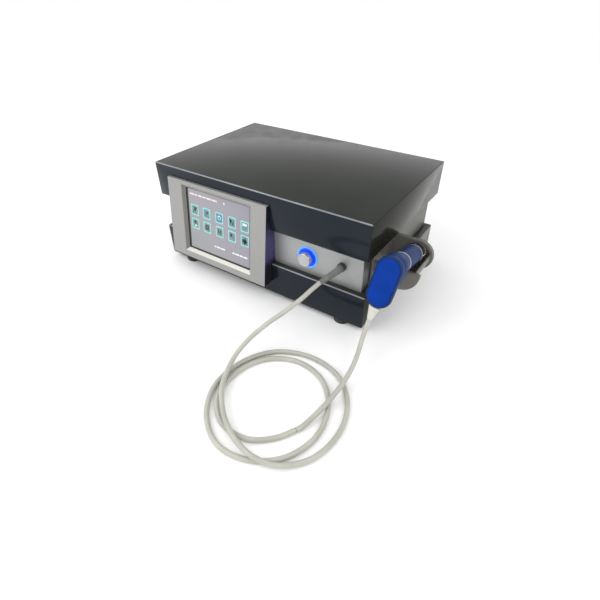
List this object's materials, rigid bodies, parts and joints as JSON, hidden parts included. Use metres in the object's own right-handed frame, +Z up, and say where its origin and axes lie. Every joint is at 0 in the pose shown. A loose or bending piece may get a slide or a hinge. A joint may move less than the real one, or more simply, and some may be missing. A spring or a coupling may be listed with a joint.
{
  "type": "ultrasound therapy device",
  "caption": "Bench console with two black covers round a silver chassis, a tilted touch display, a lit knob and a side holder carrying a corded blue applicator.",
  "frame": {"origin": "on the surface the feet stand on, under the middle of the device without its free cord", "axes": "+X to the device's right as seen from the front, +Y to its back, +Z up"},
  "size_m": [0.5567, 0.6389, 0.218],
  "materials": {
    "gloss_black": "polished black moulding",
    "brushed_silver": "fine brushed metal",
    "satin_silver": "satin silver paint",
    "knob_metal": "turned metal",
    "screen": "glossy touch panel over a lit screen",
    "module_case": "pressed metal",
    "steel": "zinc plated",
    "screw_steel": "bright screw",
    "dark_plastic": "fine moulded texture",
    "taupe_plastic": "satin moulded",
    "blue_cap": "satin gloss blue",
    "blue_grip": "satin blue",
    "pale_plastic": "satin off-white",
    "foot_rubber": "matte rubber",
    "sleeve_rubber": "matte rubber",
    "cord_jacket": "smooth cable jacket",
    "light_guide": "glowing blue ring",
    "circuit_board": "solder mask",
    "copper": "enamelled winding",
    "ceramic": "fired ceramic",
    "brass": "machined brass",
    "fuse_glass": "clear tube",
    "wire_jacket": "wire insulation"
  },
  "bodies": {
    "console": {"top_cover": "gloss_black", "lower_cover": "gloss_black", "front_panel": "brushed_silver", "rear_panel": "satin_silver", "side_panel_left": "satin_silver", "side_panel_right": "satin_silver", "chassis_base": "steel", "chassis_lid": "steel", "foot_1": "foot_rubber", "foot_2": "foot_rubber", "foot_3": "foot_rubber", "foot_4": "foot_rubber", "cover_screw_1": "screw_steel", "cover_screw_2": "screw_steel", "cover_screw_3": "screw_steel", "cover_screw_4": "screw_steel", "display_bezel": "brushed_silver", "touch_panel": "screen", "display_module": "module_case", "display_ribbon": "pale_plastic", "control_board": "circuit_board", "buzzer": "dark_plastic", "light_ring": "light_guide", "encoder_body": "module_case", "cord_gland": "dark_plastic", "gland_nut": "dark_plastic", "cord_sleeve": "sleeve_rubber", "applicator_cord": "cord_jacket", "applicator_cord_riser": "cord_jacket", "applicator_holder": "taupe_plastic", "holder_screw_1": "screw_steel", "holder_screw_2": "screw_steel", "holder_screw_3": "screw_steel", "holder_screw_4": "screw_steel", "power_inlet": "dark_plastic", "power_supply": "module_case", "generator_board": "circuit_board", "heat_sink": "brushed_silver", "output_transformer": "copper", "earth_stud": "brass", "mains_loom": "wire_jacket", "output_lead": "cord_jacket", "fan_frame": "dark_plastic", "fan_grille": "brushed_silver"},
    "encoder_switch": {"encoder_plunger": "pale_plastic"},
    "knob": {"control_knob": "knob_metal", "encoder_shaft": "steel"},
    "handpiece": {"handpiece_body": "blue_grip", "end_cap": "blue_cap", "seam_ring": "brushed_silver", "handpiece_barrel": "blue_grip", "nose_collar": "pale_plastic", "transducer_head": "steel", "piezo_disc": "ceramic", "matching_board": "circuit_board", "handpiece_relief": "pale_plastic"},
    "rocker": {"power_rocker": "dark_plastic"},
    "fuse_carrier": {"fuse_drawer": "dark_plastic", "fuse_link": "fuse_glass"},
    "fan_wheel": {"fan_rotor": "dark_plastic"}
  },
  "joints": [
    {"name": "knob_press", "type": "slide", "parent": "console", "child": "encoder_switch", "axis": [0, 1, 0], "range_m": [0, 0.0008], "stiffness_N_per_m": 2500},
    {"name": "knob_turn", "type": "hinge", "parent": "encoder_switch", "child": "knob", "pos_m": [0.0811, -0.1366, 0.1118], "axis": [0, 1, 0], "continuous": true},
    {"name": "handpiece_withdraw", "type": "slide", "parent": "console", "child": "handpiece", "axis": [0, -0.9703, 0.2419], "range_m": [0, 0.04]},
    {"name": "rocker_tilt", "type": "hinge", "parent": "console", "child": "rocker", "pos_m": [-0.1968, 0.1654, 0.132], "axis": [1, 0, 0], "range_deg": [0, 16]},
    {"name": "fuse_drawer_slide", "type": "slide", "parent": "console", "child": "fuse_carrier", "axis": [0, 1, 0], "range_m": [0, 0.018]},
    {"name": "fan_spin", "type": "hinge", "parent": "console", "child": "fan_wheel", "pos_m": [0.1102, 0.1564, 0.114], "axis": [0, 1, 0], "continuous": true}
  ]
}
